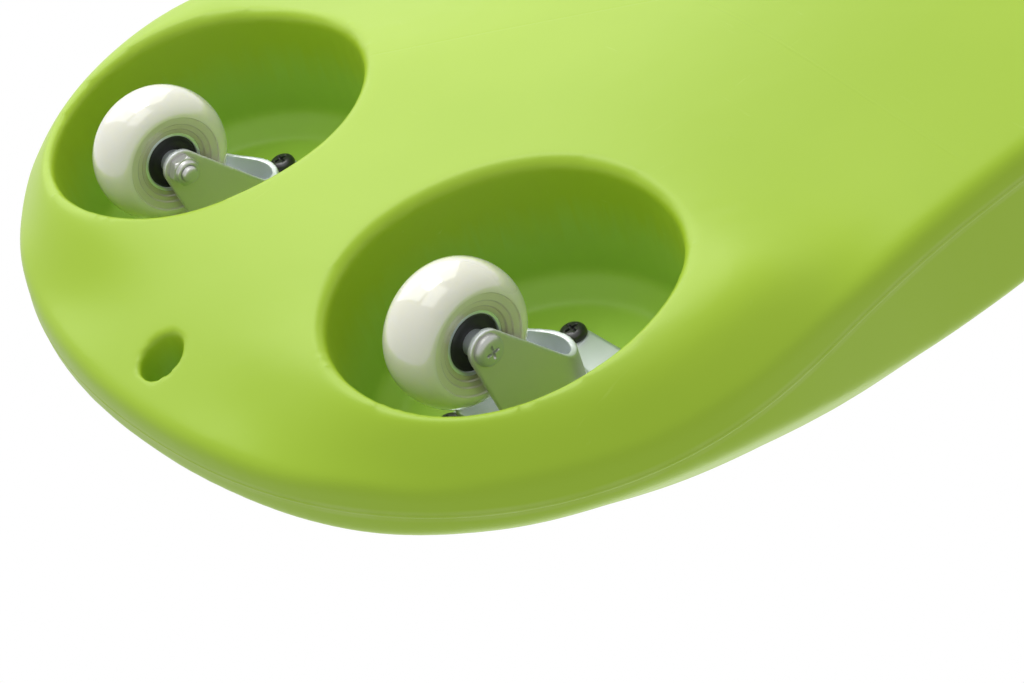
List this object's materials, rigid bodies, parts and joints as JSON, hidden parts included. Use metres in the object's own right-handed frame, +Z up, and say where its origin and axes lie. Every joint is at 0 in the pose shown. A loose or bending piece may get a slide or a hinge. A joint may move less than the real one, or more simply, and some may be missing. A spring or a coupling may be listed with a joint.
{
  "type": "roller board",
  "caption": "Moulded plastic roller board with rounded lobed ends, deep round wells that hold swivel casters, and a rope hole at each end.",
  "frame": {"origin": "on the floor below the middle of the board", "axes": "+X along the board's length, +Y across it, +Z up out of the riding side"},
  "size_m": [0.574, 0.36, 0.0974],
  "materials": {
    "board_plastic": "satin moulded polyethylene",
    "plate_zinc": "zinc plated pressing",
    "fork_zinc": "zinc plated pressing",
    "pin_steel": "riveted steel",
    "bolt_zinc": "zinc plated",
    "nut_zinc": "zinc plated",
    "bearing_black": "sealed bearing",
    "wheel_plastic": "ivory polyurethane"
  },
  "bodies": {
    "board": {"deck": "board_plastic", "mount_plate_fl": "plate_zinc", "king_pin_fl": "pin_steel", "mount_plate_fr": "plate_zinc", "king_pin_fr": "pin_steel", "mount_plate_rl": "plate_zinc", "king_pin_rl": "pin_steel", "mount_plate_rr": "plate_zinc", "king_pin_rr": "pin_steel"},
    "caster_fl": {"fork_fl": "fork_zinc", "axle_bolt_fl": "bolt_zinc", "axle_nut_fl": "nut_zinc"},
    "roller_fl": {"wheel_fl": "wheel_plastic", "bearing_fl": "bearing_black"},
    "caster_fr": {"fork_fr": "fork_zinc", "axle_bolt_fr": "bolt_zinc", "axle_nut_fr": "nut_zinc"},
    "roller_fr": {"wheel_fr": "wheel_plastic", "bearing_fr": "bearing_black"},
    "caster_rl": {"fork_rl": "fork_zinc", "axle_bolt_rl": "bolt_zinc", "axle_nut_rl": "nut_zinc"},
    "roller_rl": {"wheel_rl": "wheel_plastic", "bearing_rl": "bearing_black"},
    "caster_rr": {"fork_rr": "fork_zinc", "axle_bolt_rr": "bolt_zinc", "axle_nut_rr": "nut_zinc"},
    "roller_rr": {"wheel_rr": "wheel_plastic", "bearing_rr": "bearing_black"}
  },
  "joints": [
    {"name": "swivel_fl", "type": "hinge", "parent": "board", "child": "caster_fl", "pos_m": [0.183, 0.0893, 0.066], "axis": [0, 0, 1], "continuous": true},
    {"name": "roll_fl", "type": "hinge", "parent": "caster_fl", "child": "roller_fl", "pos_m": [0.20497, 0.09045, 0.025], "axis": [-0.0523, 0.9986, 0], "continuous": true},
    {"name": "swivel_fr", "type": "hinge", "parent": "board", "child": "caster_fr", "pos_m": [0.183, -0.0893, 0.066], "axis": [0, 0, 1], "continuous": true},
    {"name": "roll_fr", "type": "hinge", "parent": "caster_fr", "child": "roller_fr", "pos_m": [0.20497, -0.09045, 0.025], "axis": [0.0523, 0.9986, 0], "continuous": true},
    {"name": "swivel_rl", "type": "hinge", "parent": "board", "child": "caster_rl", "pos_m": [-0.183, 0.0893, 0.066], "axis": [0, 0, 1], "continuous": true},
    {"name": "roll_rl", "type": "hinge", "parent": "caster_rl", "child": "roller_rl", "pos_m": [-0.16105, 0.08777, 0.025], "axis": [0.0698, 0.9976, 0], "continuous": true},
    {"name": "swivel_rr", "type": "hinge", "parent": "board", "child": "caster_rr", "pos_m": [-0.183, -0.0893, 0.066], "axis": [0, 0, 1], "continuous": true},
    {"name": "roll_rr", "type": "hinge", "parent": "caster_rr", "child": "roller_rr", "pos_m": [-0.16101, -0.08853, 0.025], "axis": [-0.0349, 0.9994, 0], "continuous": true}
  ]
}
